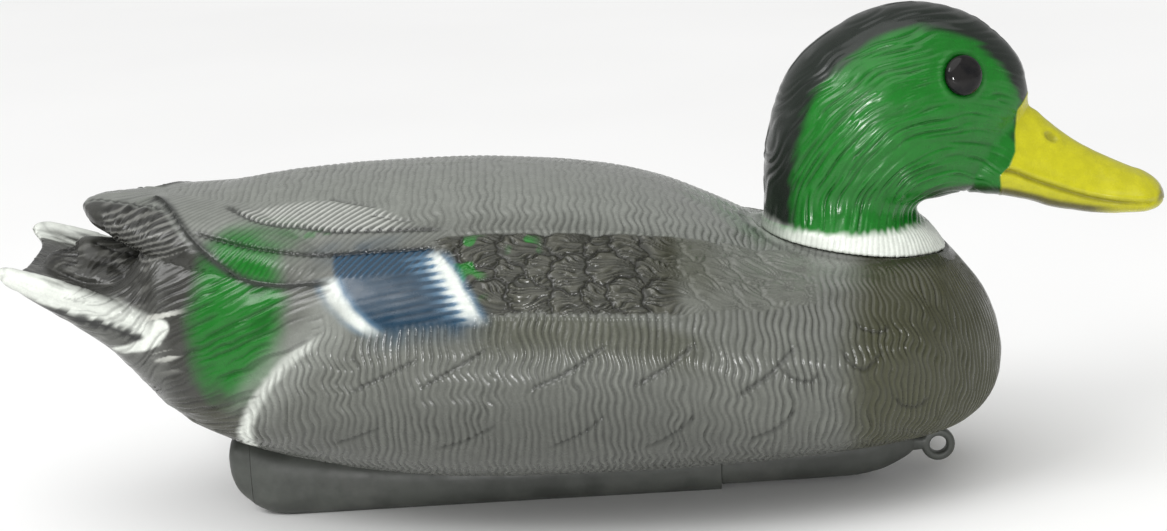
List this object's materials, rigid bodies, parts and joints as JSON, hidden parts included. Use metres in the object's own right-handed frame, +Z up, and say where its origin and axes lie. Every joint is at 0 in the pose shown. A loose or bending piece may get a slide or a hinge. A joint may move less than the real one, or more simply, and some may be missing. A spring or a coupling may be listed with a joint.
{
  "type": "floating duck decoy",
  "caption": "Mallard drake decoy: hollow painted hull and swivelling head, with a sand-filled keel bolted under the hull, a line eye and a filler cap.",
  "frame": {"origin": "on the keel's flat sole, under the middle of the decoy's length and width", "axes": "+X to the bill, +Y to the duck's left, +Z up"},
  "size_m": [0.4, 0.154, 0.169],
  "materials": {
    "hull_paint": "grey, brown, green, blue and white paint, hand sprayed on a feather relief",
    "head_paint": "green paint with a black crown, a yellow bill and a white neck ring",
    "eye_black": "gloss black",
    "keel_plastic": "satin dark grey, moulded in colour",
    "vent_plastic": "matt black",
    "screw_steel": "plain stainless steel",
    "washer_rubber": "matt black",
    "ballast_sand": "dry sand"
  },
  "bodies": {
    "hull": {"body_shell": "hull_paint", "vent_plug": "vent_plastic", "keel_tube": "keel_plastic", "keel_nose": "keel_plastic", "keel_ballast": "ballast_sand", "keel_screw_front": "screw_steel", "keel_screw_rear": "screw_steel", "screw_washer_front": "washer_rubber", "screw_washer_rear": "washer_rubber"},
    "head": {"head_shell": "head_paint", "eye_left": "eye_black", "eye_right": "eye_black"},
    "cap": {"keel_cap": "keel_plastic"}
  },
  "joints": [
    {"name": "head_swivel", "type": "hinge", "parent": "hull", "child": "head", "pos_m": [0.092, 0, 0.0883], "axis": [0.1513, 0, 0.9885], "continuous": true},
    {"name": "keel_cap_pull", "type": "slide", "parent": "hull", "child": "cap", "axis": [-1, 0, 0], "range_m": [0, 0.022]}
  ]
}
